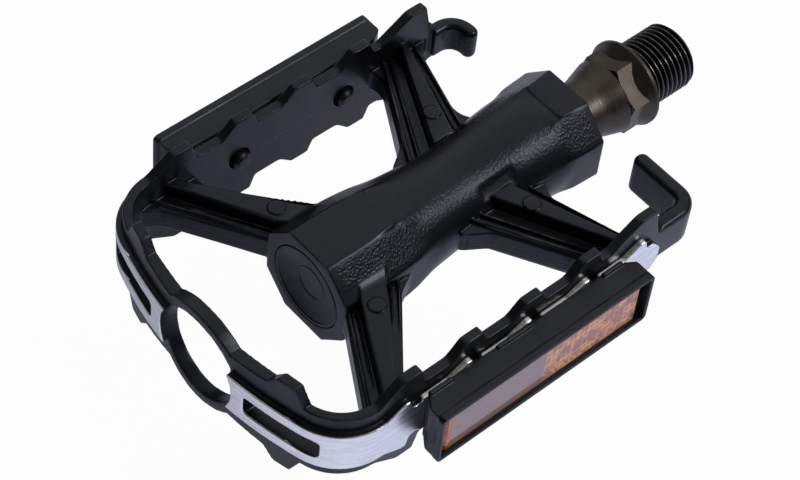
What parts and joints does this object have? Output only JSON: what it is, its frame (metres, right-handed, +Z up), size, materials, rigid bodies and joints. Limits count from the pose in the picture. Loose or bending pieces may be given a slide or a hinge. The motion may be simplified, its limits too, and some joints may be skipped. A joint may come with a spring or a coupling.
{
  "type": "bicycle pedal",
  "caption": "Platform bicycle pedal: waisted barrel on ribbed arms inside a toothed cage with a bowed ring end, threaded spindle and amber side reflectors.",
  "frame": {"origin": "on the spindle axis, at the flange face that seats on the crank", "axes": "+Y along the spindle towards the crank, +X forward with the long hook's side, +Z up"},
  "size_m": [0.0838, 0.1241, 0.0256],
  "materials": {
    "cast_body": "black satin paint with a polished band",
    "spindle_steel": "dark turned steel",
    "bearing_steel": "ground",
    "seal_rubber": "matt",
    "black_plastic": "moulded",
    "amber_lens": "clear amber prisms"
  },
  "bodies": {
    "spindle": {"spindle": "spindle_steel", "outer_cone": "bearing_steel", "lock_washer": "bearing_steel", "lock_nut": "bearing_steel"},
    "pedal": {"pedal_body": "cast_body", "inner_cup": "bearing_steel", "outer_cup": "bearing_steel", "inner_seal": "seal_rubber", "dust_cap": "black_plastic", "front_reflector_housing": "black_plastic", "front_reflector_lens": "amber_lens", "rear_reflector_housing": "black_plastic", "rear_reflector_lens": "amber_lens"},
    "inner_ball_ring": {"inner_balls": "bearing_steel"},
    "outer_ball_ring": {"outer_balls": "bearing_steel"}
  },
  "joints": [
    {"name": "pedal_spin", "type": "hinge", "parent": "spindle", "child": "pedal", "pos_m": [0, 0, 0], "axis": [0, 1, 0], "continuous": true},
    {"name": "inner_ball_orbit", "type": "hinge", "parent": "spindle", "child": "inner_ball_ring", "pos_m": [0, -0.025, 0], "axis": [0, 1, 0], "continuous": true},
    {"name": "outer_ball_orbit", "type": "hinge", "parent": "spindle", "child": "outer_ball_ring", "pos_m": [0, -0.066, 0], "axis": [0, 1, 0], "continuous": true}
  ],
  "couplings": [
    {"joint": "inner_ball_orbit", "follows": "pedal_spin", "ratio": 0.6063},
    {"joint": "outer_ball_orbit", "follows": "pedal_spin", "ratio": 0.6169}
  ]
}
